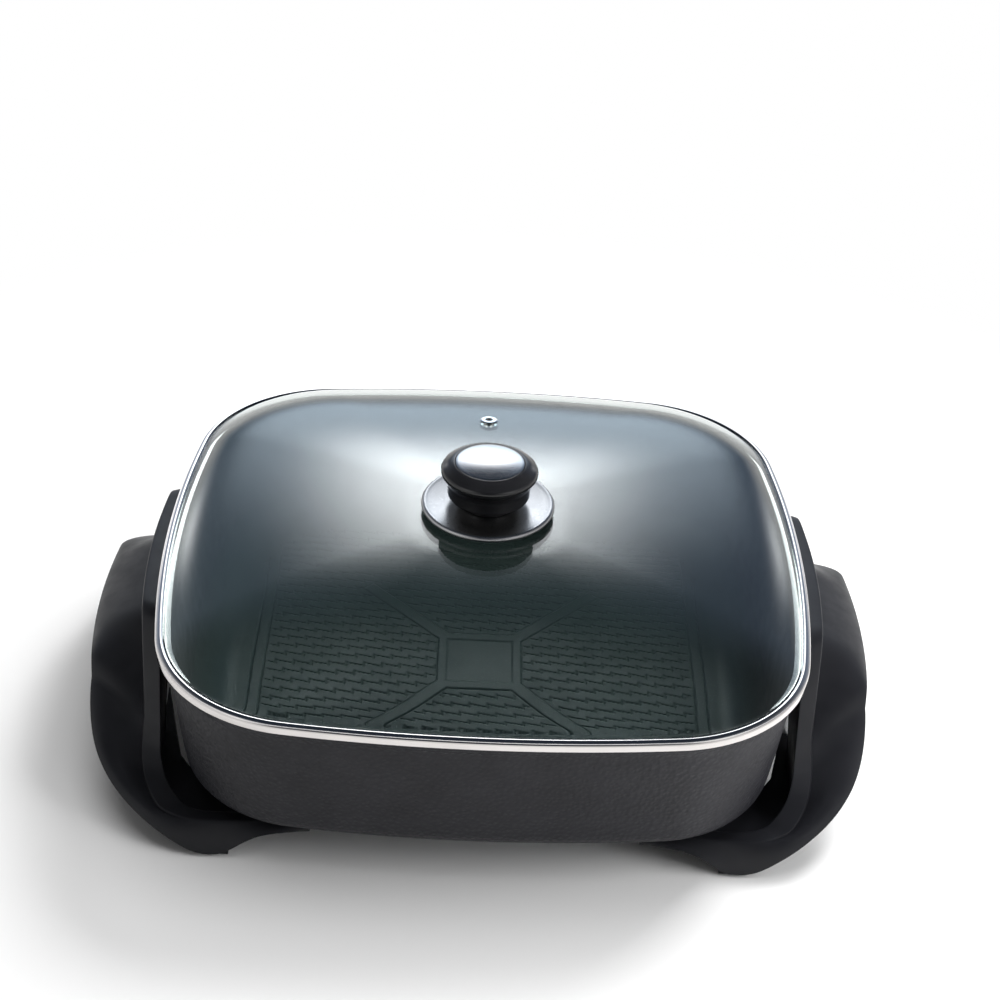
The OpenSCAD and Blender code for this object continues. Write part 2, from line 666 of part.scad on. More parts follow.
module knob_disc() {
    r = disc_d / 2;
    low = knob_top_z - disc_sink;
    edge = knob_top_z + 0.2;
    ball = (r * r + disc_crown * disc_crown) / (2 * disc_crown);
    color([0.82, 0.82, 0.81]) intersection() {
        translate([0, 0, low]) cylinder(r = r, h = edge + disc_crown - low + 1);
        translate([0, 0, edge + disc_crown - ball]) sphere(r = ball, $fn = 180);
    }
}

module knob_lower_gasket() {
    color([0.15, 0.15, 0.15]) translate([0, 0, glass_under_z - 2])
        tube(washer_d / 2 + 4, screw_d / 2 + 1, 2);
}

module knob_washer() {
    color([0.75, 0.75, 0.75]) translate([0, 0, glass_under_z - 2 - washer_t])
        tube(washer_d / 2 + 2, screw_d / 2 + 0.25, washer_t);
}

module knob_screw() {
    bearing = glass_under_z - 2 - washer_t;
    color([0.7, 0.7, 0.7]) translate([0, 0, bearing]) screw(knob_z + insert_h - 2 - bearing);
}

pan_body();
left_bracket();
right_bracket();
bracket_screws();
bracket_washers();
heating_element();
terminal_insulators();
terminal_pins();
probe_sleeve();
terminal_guard();
guard_screws();
guard_washers();
lid_glass();
lid_rim_band();
vent_eyelet();
knob_plate();
knob_upper_gasket();
knob_body();
knob_insert();
knob_disc();
knob_lower_gasket();
knob_washer();
knob_screw();
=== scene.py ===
"""Electric skillet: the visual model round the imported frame.

Lengths in the mesh code are millimetres and become metres when a mesh is made.
"""
import math

import bmesh
import bpy
import numpy as np
from mathutils import Matrix, Vector


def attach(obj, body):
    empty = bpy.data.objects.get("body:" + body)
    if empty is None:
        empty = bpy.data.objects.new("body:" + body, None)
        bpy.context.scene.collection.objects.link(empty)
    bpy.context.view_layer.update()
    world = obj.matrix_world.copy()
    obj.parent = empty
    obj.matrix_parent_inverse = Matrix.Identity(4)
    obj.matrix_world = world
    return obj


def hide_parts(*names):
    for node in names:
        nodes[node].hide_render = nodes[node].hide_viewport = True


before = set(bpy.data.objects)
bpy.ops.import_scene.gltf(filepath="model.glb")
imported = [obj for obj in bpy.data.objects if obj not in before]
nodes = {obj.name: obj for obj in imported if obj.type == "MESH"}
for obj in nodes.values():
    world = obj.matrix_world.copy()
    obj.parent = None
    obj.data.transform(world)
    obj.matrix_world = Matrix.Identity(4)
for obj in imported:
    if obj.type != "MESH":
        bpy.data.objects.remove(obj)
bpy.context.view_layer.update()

MM = 0.001
SHARP = math.radians(32)

# ---------------------------------------------------------------- sizes, as in the part's source

GROUND_GAP = 20.0
HALF = (161.0, 156.0)
PAN_H = 75.0
CORNER_R, SIDE_BOW, FRONT_BOW = 72.5, 5.6, 4.8
WALL_T, BASE_T, RIM_W = 4.0, 4.5, 3.5
RIM_FLARE, FLARE_H, WALL_DRAFT = 3.5, 7.0, 5.5
OUTER_BEND, INNER_BEND = 15.0, 22.0
RIM_Z = GROUND_GAP + PAN_H
FLOOR_Z = GROUND_GAP + BASE_T
LID_OVERHANG, GLASS_T, DOME_H = 3.0, 4.0, 22.4
BAND_T, BAND_FIT, BAND_GRIP, LIP_DROP, LID_GAP = 0.6, 0.05, 3.8, 2.5, 0.3
SEAT_HALF = 38.0
LID_Z = RIM_Z + LID_GAP
ELEMENT_Z = GROUND_GAP - 5
SCREW_XY = (106.0, 96.0)


# ---------------------------------------------------------------- camera

CAMERA_AT = (-17.98, -890.50, 708.35)
CAMERA_YAW, CAMERA_PITCH, CAMERA_ROLL = 0.02588, 0.57669, 0.05749
PICTURE_W, FOCAL, MIDDLE = 1000, 2092, (498.26, 497.96)  # in pixels of the photograph
SENSOR = 36.0


def make_camera():
    """The photograph's camera: a long lens that looks 33 degrees down, tilted a little."""
    yaw, pitch, roll = CAMERA_YAW, CAMERA_PITCH, CAMERA_ROLL
    ahead = Vector((math.sin(yaw) * math.cos(pitch), math.cos(yaw) * math.cos(pitch),
                    -math.sin(pitch)))
    right = Vector((math.cos(yaw), -math.sin(yaw), 0))
    up = right.cross(ahead)
    right, up = (right * math.cos(roll) + up * math.sin(roll),
                 up * math.cos(roll) - right * math.sin(roll))
    data = bpy.data.cameras.new("camera")
    data.sensor_fit = "HORIZONTAL"
    data.sensor_width = SENSOR
    data.lens = SENSOR * FOCAL / PICTURE_W
    data.clip_start, data.clip_end = 0.05, 50.0
    data.shift_x = (PICTURE_W / 2 - MIDDLE[0]) / PICTURE_W
    data.shift_y = (MIDDLE[1] - PICTURE_W / 2) / PICTURE_W
    cam = bpy.data.objects.new("camera", data)
    turn = Matrix((right, up, -ahead)).transposed().to_4x4()
    cam.matrix_world = Matrix.Translation(Vector(CAMERA_AT) * MM) @ turn
    bpy.context.scene.collection.objects.link(cam)
    bpy.context.scene.camera = cam


make_camera()


# ---------------------------------------------------------------- mesh helpers

def new_object(name, mesh):
    obj = bpy.data.objects.new(name, mesh)
    bpy.context.scene.collection.objects.link(obj)
    return obj


def finish_mesh(name, verts, faces, sharp, face_slots):
    """An object from millimetre points, smooth except at edges sharper than sharp."""
    mesh = bpy.data.meshes.new(name)
    mesh.from_pydata((np.asarray(verts, float) * MM).tolist(), [], faces)
    mesh.validate()
    bm = bmesh.new()
    bm.from_mesh(mesh)
    bmesh.ops.recalc_face_normals(bm, faces=bm.faces)
    bm.to_mesh(mesh)
    bm.free()
    mesh.shade_smooth()
    mesh.set_sharp_from_angle(angle=sharp)
    mesh.polygons.foreach_set("material_index", face_slots)
    mesh.update()
    return new_object(name, mesh)


class Build:
    """Collects points and faces of one object."""

    def __init__(self):
        self.verts, self.faces, self.slots, self.count = [], [], [], 0

    def add(self, verts, faces, slot=0):
        verts = np.asarray(verts, float)
        self.verts.append(verts)
        self.faces += [[i + self.count for i in face] for face in faces]
        self.slots += [slot] * len(faces)
        self.count += len(verts)

    def object(self, name, sharp=SHARP):
        return finish_mesh(name, np.vstack(self.verts), self.faces, sharp, self.slots)


def skin(rings, along=False, cap_first=False, cap_last=False):
    """Points and faces of a skin over closed rings; along joins the last ring to the first."""
    rings = np.asarray(rings, float)
    n, k, _ = rings.shape
    faces = []
    for i in range(n if along else n - 1):
        a, b = i * k, ((i + 1) % n) * k
        for j in range(k):
            m = (j + 1) % k
            faces.append([a + j, b + j, b + m, a + m])
    if cap_first:
        faces.append(list(range(k)))
    if cap_last:
        faces.append(list(range((n - 1) * k, n * k))[::-1])
    return rings.reshape(-1, 3), faces


def arc(cx, cy, r, start, end, steps):
    """Points of an arc, with start and end in degrees."""
    turn = np.radians(np.linspace(start, end, steps + 1))
    return [(cx + r * math.cos(t), cy + r * math.sin(t)) for t in turn]


def lathe(profile, steps=160):
    """Rings round Z from [radius, z] points."""
    turn = np.linspace(0, 2 * np.pi, steps, endpoint=False)
    return [np.stack([r * np.cos(turn), r * np.sin(turn), np.full(steps, z)], 1)
            for r, z in profile]


def rounded(points, radius, steps=3, closed=True):
    """A 2D line or loop, its corners rounded off by at most a third of an edge."""
    pts = [np.asarray(p, float) for p in points]
    n = len(pts)
    out = []
    for i, p in enumerate(pts):
        if not closed and i in (0, n - 1):
            out.append(p)
            continue
        a, b = pts[i - 1] - p, pts[(i + 1) % n] - p
        la, lb = max(np.linalg.norm(a), 1e-6), max(np.linalg.norm(b), 1e-6)
        cut = min(radius, la / 3, lb / 3)
        first, last = p + a / la * cut, p + b / lb * cut
        for t in np.linspace(0, 1, steps + 1):
            out.append((1 - t) ** 2 * first + 2 * t * (1 - t) * p + t * t * last)
    return out


# ---------------------------------------------------------------- the outline seen from above

# a bowed side, a round corner and a bowed front: arcs that meet at SIDE_TURN and FRONT_TURN
CORNER = (HALF[0] - CORNER_R - SIDE_BOW, HALF[1] - CORNER_R - FRONT_BOW)
SIDE_R = ((CORNER_R + SIDE_BOW) ** 2 + CORNER[1] ** 2 - CORNER_R ** 2) / (2 * SIDE_BOW)
FRONT_R = ((CORNER_R + FRONT_BOW) ** 2 + CORNER[0] ** 2 - CORNER_R ** 2) / (2 * FRONT_BOW)
SIDE_TURN = math.atan2(CORNER[1], CORNER[0] - HALF[0] + SIDE_R)
FRONT_TURN = math.pi / 2 - math.atan2(CORNER[0], CORNER[1] - HALF[1] + FRONT_R)


def outline_turns(per_quarter):
    """Directions of the outline's normal, spaced evenly by length along the rim."""
    side, corner = SIDE_TURN * SIDE_R, (FRONT_TURN - SIDE_TURN) * CORNER_R
    front = (math.pi / 2 - FRONT_TURN) * FRONT_R
    length = np.linspace(0, side + corner + front, per_quarter + 1)
    turn = np.interp(length, [0, side, side + corner, side + corner + front],
                     [0, SIDE_TURN, FRONT_TURN, math.pi / 2])
    q = turn[:-1]
    back = math.pi - turn[1:][::-1]
    half = np.concatenate([q, back])
    return np.concatenate([half, half + math.pi])


def outline(turns, inset=0.0, share=1.0):
    """Points of the outline, set in by inset and scaled by share, for directions turns."""
    c, s = np.cos(turns), np.sin(turns)
    ac, as_ = np.abs(c), np.abs(s)
    first = np.arctan2(as_, ac)
    x = np.where(first <= SIDE_TURN, HALF[0] - SIDE_R + (SIDE_R - inset) * ac,
                 np.where(first < FRONT_TURN, CORNER[0] + (CORNER_R - inset) * ac,
                          (FRONT_R - inset) * ac))
    y = np.where(first <= SIDE_TURN, (SIDE_R - inset) * as_,
                 np.where(first < FRONT_TURN, CORNER[1] + (CORNER_R - inset) * as_,
                          HALF[1] - FRONT_R + (FRONT_R - inset) * as_))
    return np.stack([np.sign(c) * x, np.sign(s) * y], 1) * share


def ring(turns, inset, z, share=1.0):
    """The outline as 3D points at height z."""
    xy = outline(turns, inset, share)
    return np.c_[xy, np.full(len(xy), z)]


# ---------------------------------------------------------------- materials

def material(name, color, roughness, metallic=0.0, **sockets):
    """A material and its shader; sockets are the shader's, with _ for a space."""
    mat = bpy.data.materials.new(name)
    mat.use_nodes = True
    shader = mat.node_tree.nodes["Principled BSDF"]
    shader.inputs["Base Color"].default_value = (*color, 1)
    shader.inputs["Roughness"].default_value = roughness
    shader.inputs["Metallic"].default_value = metallic
    for key, value in sockets.items():
        shader.inputs[key.replace("_", " ")].default_value = value
    return mat, shader


def node(mat, kind, **values):
    """A node; values are its properties or its inputs."""
    made = mat.node_tree.nodes.new(kind)
    for key, value in values.items():
        if hasattr(made, key):
            setattr(made, key, value)
        else:
            made.inputs[key.replace("_", " ")].default_value = value
    return made


def link(mat, a, b):
    mat.node_tree.links.new(a, b)


def place(mat, scale):
    """Object coordinates, times scale per metre."""
    coord = node(mat, "ShaderNodeTexCoord")
    mapping = node(mat, "ShaderNodeMapping")
    mapping.inputs["Scale"].default_value = scale if isinstance(scale, tuple) else (scale,) * 3
    link(mat, coord.outputs["Object"], mapping.inputs["Vector"])
    return mapping.outputs["Vector"]


def ramp(mat, value, low, high, a, b):
    """Value from low to high made into a colour or number from a to b."""
    made = node(mat, "ShaderNodeValToRGB")
    first, last = made.color_ramp.elements
    first.position, last.position = low, high
    first.color = (*a, 1) if isinstance(a, tuple) else (a, a, a, 1)
    last.color = (*b, 1) if isinstance(b, tuple) else (b, b, b, 1)
    link(mat, value, made.inputs["Fac"])
    return made.outputs["Color"]


def noise(mat, vector, scale, detail=3.0, rough=0.5):
    made = node(mat, "ShaderNodeTexNoise", Scale=scale, Detail=detail, Roughness=rough)
    link(mat, vector, made.inputs["Vector"])
    return made.outputs["Fac"]


def voronoi(mat, vector, scale, feature="F1", smooth=0.0):
    made = node(mat, "ShaderNodeTexVoronoi", feature=feature, Scale=scale)
    if feature == "SMOOTH_F1":
        made.inputs["Smoothness"].default_value = smooth
    link(mat, vector, made.inputs["Vector"])
    return made.outputs["Distance"]


def bump(mat, shader, height, strength, distance, below=None):
    """A fine relief on the shader, over the relief below."""
    made = node(mat, "ShaderNodeBump", Strength=strength, Distance=distance)
    link(mat, height, made.inputs["Height"])
    if below is not None:
        link(mat, below, made.inputs["Normal"])
    link(mat, made.outputs["Normal"], shader.inputs["Normal"])
    return made.outputs["Normal"]


def add(mat, a, b, weight):
    """The value a plus weight times b."""
    made = node(mat, "ShaderNodeMath", operation="MULTIPLY_ADD")
    link(mat, b, made.inputs[0])
    made.inputs[1].default_value = weight
    link(mat, a, made.inputs[2])
    return made.outputs["Value"]


def pan_outside():
    """Black coating with a fine hammered relief."""
    mat, shader = material("pan_outside", (0.015, 0.015, 0.018), 0.45, Specular_IOR_Level=0.3)
    v = place(mat, 1000.0)
    cells = voronoi(mat, v, 0.42, "SMOOTH_F1", 0.6)
    creases = add(mat, cells, noise(mat, v, 0.28, 4, 0.6), 0.8)
    n = bump(mat, shader, creases, 0.55, 0.0007)
    bump(mat, shader, noise(mat, v, 2.2, 2), 0.12, 0.0002, n)
    link(mat, ramp(mat, noise(mat, v, 0.05, 5), 0.35, 0.7, (0.012, 0.012, 0.015),
                   (0.018, 0.018, 0.022)), shader.inputs["Base Color"])
    link(mat, ramp(mat, creases, 0.3, 1.0, 0.38, 0.52), shader.inputs["Roughness"])
    return mat


def pan_inside():
    """Dark green-black coating with fine light specks."""
    mat, shader = material("pan_inside", (0.016, 0.021, 0.020), 0.4, Specular_IOR_Level=0.3)
    v = place(mat, 1000.0)
    specks = voronoi(mat, v, 0.9)
    link(mat, ramp(mat, specks, 0.06, 0.16, (0.09, 0.11, 0.11), (0.015, 0.020, 0.0195)),
         shader.inputs["Base Color"])
    link(mat, ramp(mat, noise(mat, v, 0.06, 5), 0.3, 0.7, 0.34, 0.46),
         shader.inputs["Roughness"])
    bump(mat, shader, noise(mat, v, 1.6, 3, 0.6), 0.25, 0.0002)
    return mat


def phenolic(name, roughness, color=(0.010, 0.0103, 0.0125), level=0.25):
    """Black moulding resin; level is how much it reflects."""
    mat, shader = material(name, color, roughness, Specular_IOR_Level=level)
    v = place(mat, 1000.0)
    bump(mat, shader, noise(mat, v, 1.1, 4, 0.65), 0.10, 0.0002)
    link(mat, ramp(mat, noise(mat, v, 0.03, 5), 0.3, 0.75, tuple(0.85 * c for c in color),
                   tuple(1.3 * c for c in color)), shader.inputs["Base Color"])
    link(mat, ramp(mat, noise(mat, v, 0.12, 5, 0.6), 0.3, 0.7, roughness - 0.05,
                   roughness + 0.07), shader.inputs["Roughness"])
    return mat


FINE, EVEN, COARSE = (1500.0,) * 3, (90.0,) * 3, (300.0,) * 3
BRUSHED_UP, BRUSHED_LONG = (40.0, 40.0, 1200.0), (40.0, 1500.0, 40.0)


def steel(name, roughness, color=(0.80, 0.80, 0.79), grain=BRUSHED_UP, depth=0.06):
    """Metal; grain is how fine its streaks are along x, y and z."""
    mat, shader = material(name, color, roughness, 1.0)
    v = place(mat, grain)
    streaks = noise(mat, v, 1.0, 3, 0.6)
    bump(mat, shader, streaks, depth, 0.0001)
    link(mat, ramp(mat, streaks, 0.3, 0.7, roughness * 0.8, roughness * 1.3),
         shader.inputs["Roughness"])
    link(mat, ramp(mat, noise(mat, place(mat, 60.0), 1.0, 4), 0.3, 0.7,
                   tuple(0.94 * c for c in color), color), shader.inputs["Base Color"])
    return mat


def glass():
    """Faintly green glass that lets the lamps' light straight through."""
    mat, shader = material("glass", (0.90, 0.97, 0.95), 0.0, IOR=1.5,
                           Transmission_Weight=1.0)
    v = place(mat, 1000.0)
    link(mat, ramp(mat, noise(mat, v, 0.02, 3), 0.3, 0.7, (0.90, 0.965, 0.945),
                   (0.93, 0.985, 0.965)), shader.inputs["Base Color"])
    bump(mat, shader, noise(mat, v, 0.012, 1), 0.02, 0.0003)
    clear = node(mat, "ShaderNodeBsdfTransparent")
    clear.inputs["Color"].default_value = (0.88, 0.94, 0.92, 1)
    path = node(mat, "ShaderNodeLightPath")
    mix = node(mat, "ShaderNodeMixShader")
    out = mat.node_tree.nodes["Material Output"]
    link(mat, path.outputs["Is Shadow Ray"], mix.inputs["Fac"])
    link(mat, shader.outputs["BSDF"], mix.inputs[1])
    link(mat, clear.outputs["BSDF"], mix.inputs[2])
    link(mat, mix.outputs["Shader"], out.inputs["Surface"])
    return mat


def plain(name, color, roughness, scale=1.0, depth=0.15):
    """A dull, faintly grained material."""
    mat, shader = material(name, color, roughness)
    v = place(mat, 1000.0)
    grains = noise(mat, v, scale, 4, 0.6)
    bump(mat, shader, grains, depth, 0.0002)
    link(mat, ramp(mat, grains, 0.3, 0.75, tuple(0.82 * c for c in color),
                   tuple(min(1.0, 1.1 * c) for c in color)), shader.inputs["Base Color"])
    return mat


MATERIALS = {
    "outside": pan_outside(),
    "inside": pan_inside(),
    "moulding": phenolic("moulding", 0.42),
    "knob": phenolic("knob_black", 0.14, (0.010, 0.010, 0.011), 0.5),
    "bright": steel("bright_steel", 0.10, (0.83, 0.83, 0.82), EVEN, 0.03),
    "trim": steel("trim_steel", 0.10, (0.64, 0.615, 0.60), EVEN, 0.03),
    "satin": steel("satin_steel", 0.32, (0.41, 0.41, 0.415), FINE, 0.02),
    "disc": steel("disc_steel", 0.17, (0.60, 0.60, 0.60), FINE, 0.02),
    "fixing": steel("fixing_steel", 0.28),
    "guard": steel("guard_steel", 0.30, (0.70, 0.71, 0.72), BRUSHED_LONG, 0.10),
    "sheath": steel("sheath", 0.42, (0.40, 0.38, 0.35), COARSE, 0.15),
    "brass": steel("brass", 0.30, (0.78, 0.60, 0.30), COARSE, 0.10),
    "gasket": plain("gasket", (0.03, 0.03, 0.03), 0.6),
    "ceramic": plain("ceramic", (0.86, 0.85, 0.81), 0.35, 0.6, 0.08),
    "glass": glass(),
}


def dress(obj, body, *mats, replaces):
    """Gives an object its materials and its body, and hides the node that it replaces."""
    for mat in mats:
        obj.data.materials.append(MATERIALS[mat])
    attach(obj, body)
    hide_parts(replaces)


# ---------------------------------------------------------------- pan

FLOOR_STEPS = 250
ELEMENT_LOOP = (95.0, 85.0, 45.0)
PIN_PITCH, LEAD_R = 32.0, 20.0
LEAD_END = HALF[0] - RIM_FLARE - WALL_DRAFT - 4
SLEEVE_X = LEAD_END + 8 - 30

# the cast pattern: interlocked bricks, bars from the corners, a plaque in the middle, frame lines
BRICK_PITCH, BRICK_LENGTH, BRICK_TOOTH, BRICK_HOOK, BRICK_DEPTH = 6.75, 9.4, 2.0, 0.9, 0.42
BAR_HALF, BAR_MIDDLE, BAR_REACH = 3.8, 58.0, 31.0
PLAQUE_HALF, PANEL_HALF = 22.5, (17.5, 17.0)
ROWS_HALF, FRAME_LINES, FRAME_END = (112.5, 117.0), (114.0, 120.0), 106.0
GROOVE_DEPTH, FRAME_DEPTH, PLAQUE_RISE = 0.35, 0.45, 0.3


def within(distance, width):
    """1 inside a border, 0 outside, and a slope of the given width between."""
    return np.clip(0.5 - distance / width, 0, 1)


def brick_depth(x, y):
    """Saw-toothed grooves along x, whose teeth are offset from row to row, with short ends."""
    row = np.rint((y - BRICK_TOOTH * 0.1) / BRICK_PITCH)
    phase = (x / BRICK_LENGTH + 0.5 * (row % 2)) % 1.0
    line = row * BRICK_PITCH + BRICK_TOOTH * (0.5 - phase)
    groove = within(np.abs(y - line) - 0.3, 0.45)
    end = np.minimum(phase, 1 - phase) * BRICK_LENGTH
    reach = np.abs(y - row * BRICK_PITCH) - BRICK_TOOTH * 0.5 - BRICK_HOOK
    return -BRICK_DEPTH * np.maximum(groove, within(end - 0.4, 0.45) * within(reach, 0.5))


def floor_height(x, y):
    """Height of the cast pattern above the flat cooking surface."""
    ax, ay = np.abs(x), np.abs(y)
    # along and across the two diagonals
    au, av = np.abs(x + y) / math.sqrt(2), np.abs(x - y) / math.sqrt(2)
    bar = np.where(au < av,
                   np.maximum(au - BAR_HALF, np.abs(av - BAR_MIDDLE) - BAR_REACH),
                   np.maximum(av - BAR_HALF, np.abs(au - BAR_MIDDLE) - BAR_REACH))
    plaque = np.maximum(ax, ay) - PLAQUE_HALF
    panel = np.maximum(ax - PANEL_HALF[0], ay - PANEL_HALF[1])
    shape = np.minimum(bar, plaque)
    rows = within(np.maximum(ax - ROWS_HALF[0], ay - ROWS_HALF[1]), 0.6)
    height = brick_depth(x, y) * rows * (1 - within(shape - 0.8, 0.5))
    height -= GROOVE_DEPTH * within(np.abs(shape) - 0.3, 0.45)
    height += PLAQUE_RISE * within(shape, 0.8) * (1 - within(panel, 0.8))
    lines = np.maximum(*(within(np.abs(ax - at) - 0.35, 0.45) for at in FRAME_LINES))
    return height - FRAME_DEPTH * lines * (ay < FRAME_END)


def element_path(end_x):
    """Points along the element's route, from one lead's end to the other's."""
    lx, ly, r = ELEMENT_LOOP
    lead_y, lead_x = PIN_PITCH / 2, lx + LEAD_R
    half = [(end_x, -lead_y), (lead_x, -lead_y)]
    half += arc(lead_x, -lead_y - LEAD_R, LEAD_R, 90, 180, 14)[1:]
    half += [(lx, -ly + r)]
    half += arc(lx - r, -ly + r, r, 0, -90, 22)[1:]
    half += [(-lx + r, -ly)]
    half += arc(-lx + r, -ly + r, r, -90, -180, 22)[1:]
    half += [(-lx, 0)]
    return half + [(x, -y) for x, y in half[::-1][1:]]


def sweep(build, path, profile, z):
    """Sweeps a closed 2D profile [out, up] along a level path, with mitred turns."""
    path = np.asarray(path, float)
    step = np.diff(path, axis=0)
    step /= np.linalg.norm(step, axis=1)[:, None]
    way = np.vstack([step[:1], step[:-1] + step[1:], step[-1:]])
    way /= np.linalg.norm(way, axis=1)[:, None]
    out = np.stack([way[:, 1], -way[:, 0]], 1)
    stretch = np.ones(len(path))
    stretch[1:-1] = 1 / np.maximum(0.5, np.abs(np.sum(way[1:-1] * step[1:], 1)))
    rings = [[[*(p + o * s * q[0]), z + q[1]] for q in profile]
             for p, o, s in zip(path, out, stretch)]
    build.add(*skin(rings, cap_first=True, cap_last=True))


def boss(build, x, y, low, high, r, soft=0.6):
    """A closed round boss with a softened lower edge."""
    profile = [(0.001, low), (r - soft, low), (r - soft * 0.3, low + soft * 0.3), (r, low + soft),
               (r, high), (0.001, high)]
    rings = [loop + (x, y, 0) for loop in lathe(profile, 40)]
    build.add(*skin(rings, cap_first=True, cap_last=True))


# the wall's outer face between its bend and its rim, as x from the rim and height
WALL_FACE = [(-6.8, 30), (-4.1, 54), (-3.4, 63), (-3.3, 66.2), (-2.9, 67.6), (-2.3, 68.9),
             (-2.1, 69.6), (-2.0, 70.3)]
RIM_INSIDE = [(-RIM_W - 0.5, PAN_H - 0.4), (-5.0, PAN_H - 2.4), (-6.7, PAN_H - 5.4),
              (-7.5, PAN_H - 7.2), (-8.2, PAN_H - 12)]
BEND_WIDEN, LIP_R, BEAD_R = 1.35, 1.1, 1.35
BOSS_R, RIB_HALF, POST_Y, POST_R, POST_LOW = 8.0, 7.0, 31.0, 6.0, 6.5
BLOCK_HALF, BLOCK_LOW = 10.0, 8.5


def cooking_surface(turns, inset):
    """Points and faces of the floor: squares that grow out to the ring where the bend begins."""
    m = FLOOR_STEPS
    edge = outline(turns, inset)
    grid = np.zeros((2 * m + 1, 2 * m + 1, 2))
    count = len(turns)
    for k in range(1, m + 1):
        i = np.arange(8 * k)
        # walk round the square of size k from its middle right, counter-clockwise
        s = (i / k) % 8
        sx = np.select([s < 1, s < 3, s < 5, s < 7], [1 + 0 * s, 2 - s, -1 + 0 * s, s - 6], 1)
        sy = np.select([s < 1, s < 3, s < 5, s < 7], [s, 1 + 0 * s, 4 - s, -1 + 0 * s], s - 8)
        at = i / (8 * k) * count
        lo = np.floor(at).astype(int)
        part = (at - lo)[:, None]
        p = edge[lo % count] * (1 - part) + edge[(lo + 1) % count] * part
        gx, gy = np.rint(m + sx * k).astype(int), np.rint(m + sy * k).astype(int)
        grid[gx, gy] = p * (k / m)
    xy = grid.reshape(-1, 2)
    z = FLOOR_Z + floor_height(xy[:, 0], xy[:, 1])
    side = 2 * m + 1
    i, j = np.meshgrid(np.arange(side - 1), np.arange(side - 1), indexing="ij")
    a = (i * side + j).ravel()
    return np.c_[xy, z], np.stack([a, a + side, a + side + 1, a + 1], 1).tolist()


def make_pan():
    turns = outline_turns(FLOOR_STEPS)
    wall_in = RIM_FLARE + WALL_DRAFT
    outer = [(-wall_in + BEND_WIDEN * (x + wall_in), z) for x, z in
             arc(-wall_in - OUTER_BEND, OUTER_BEND, OUTER_BEND, -90, -3, 12)]
    outer += WALL_FACE + arc(-BEAD_R, PAN_H - 2.6, BEAD_R, -75, 0, 5)
    outer += arc(-LIP_R, PAN_H - LIP_R, LIP_R, 0, 90, 4) + [(-RIM_W + 0.5, PAN_H)]
    inner = RIM_INSIDE + arc(-wall_in - WALL_T - INNER_BEND, BASE_T + INNER_BEND, INNER_BEND,
                             3, -90, 16)
    rings = [ring(turns, -x, GROUND_GAP + z) for x, z in outer + inner]
    build = Build()
    build.add(*skin(rings[:len(outer) + 1], cap_first=True), 0)
    build.add(*skin(rings[len(outer):]), 1)
    build.add(*cooking_surface(turns, -inner[-1][0]), 1)
    # underneath: bosses, the element's rib and the sleeve's block
    low, high = GROUND_GAP - 6, GROUND_GAP + 3
    for sx in (-1, 1):
        for sy in (-1, 1):
            boss(build, sx * SCREW_XY[0], sy * SCREW_XY[1], low, high, BOSS_R)
    rib = rounded([(-RIB_HALF, -2), (RIB_HALF, -2), (RIB_HALF, high - ELEMENT_Z),
                   (-RIB_HALF, high - ELEMENT_Z)], 0.8)
    sweep(build, element_path(LEAD_END - 4), rib, ELEMENT_Z)
    for sy in (-1, 1):
        boss(build, LEAD_END - 14, sy * POST_Y, POST_LOW, high, POST_R)
    block = rounded([(-BLOCK_HALF, BLOCK_LOW), (BLOCK_HALF, BLOCK_LOW), (BLOCK_HALF, high),
                     (-BLOCK_HALF, high)], 0.8)
    sweep(build, [(SLEEVE_X - 2, 0), (LEAD_END - 4, 0)], block, 0)
    obj = build.object("pan_cast")
    weld(obj, 0.02 * MM)
    dress(obj, "base", "outside", "inside", replaces="pan_body")


def weld(obj, distance):
    """Joins the points where the pan's pieces meet."""
    bm = bmesh.new()
    bm.from_mesh(obj.data)
    bmesh.ops.remove_doubles(bm, verts=bm.verts, dist=distance)
    bmesh.ops.recalc_face_normals(bm, faces=bm.faces)
    bm.to_mesh(obj.data)
    bm.free()
    obj.data.shade_smooth()
    obj.data.set_sharp_from_angle(angle=SHARP)


make_pan()


# ---------------------------------------------------------------- brackets

LEG_Y, LEG_D, TIP_X, TIP_BOW = 133.5, 14.0, 81.0, 6.0
FOOT_X, FOOT_W = 127.0, 14.0
HANDLE_X = HALF[0] + 1.0
# a route seen from above, inner and outer: x of the handle's middle, its bow, y where its corner
# begins, how far the corner reaches in x, and y of the leg
ROUTE_IN = (HANDLE_X - 0.5, 4.5, 88.0, 26.0, LEG_Y - LEG_D)
ROUTE_OUT = (HANDLE_X + 38.0, 4.5, 59.0, 62.0, LEG_Y)
TOP_Z, WEB_Z, LEDGE_Z, LEDGE_T = RIM_Z - 4, GROUND_GAP - 2, GROUND_GAP - 6, 5.5
LEDGE_LOW, SHELF_Z = LEDGE_Z - LEDGE_T, LEDGE_Z - 0.02
RAISED_W, MOULDING_T = 11.0, 4.5
# heights along the route: 0 is the handle's middle, 1 to 2 its corner and 3 the leg's tip
RAISED_TOP = [(0, TOP_Z), (0.66, TOP_Z), (0.72, TOP_Z - 4), (0.82, TOP_Z - 16),
              (0.95, TOP_Z - 37), (1.1, TOP_Z - 54), (1.35, WEB_Z + 9), (1.7, WEB_Z + 1),
              (2, WEB_Z), (3, WEB_Z)]
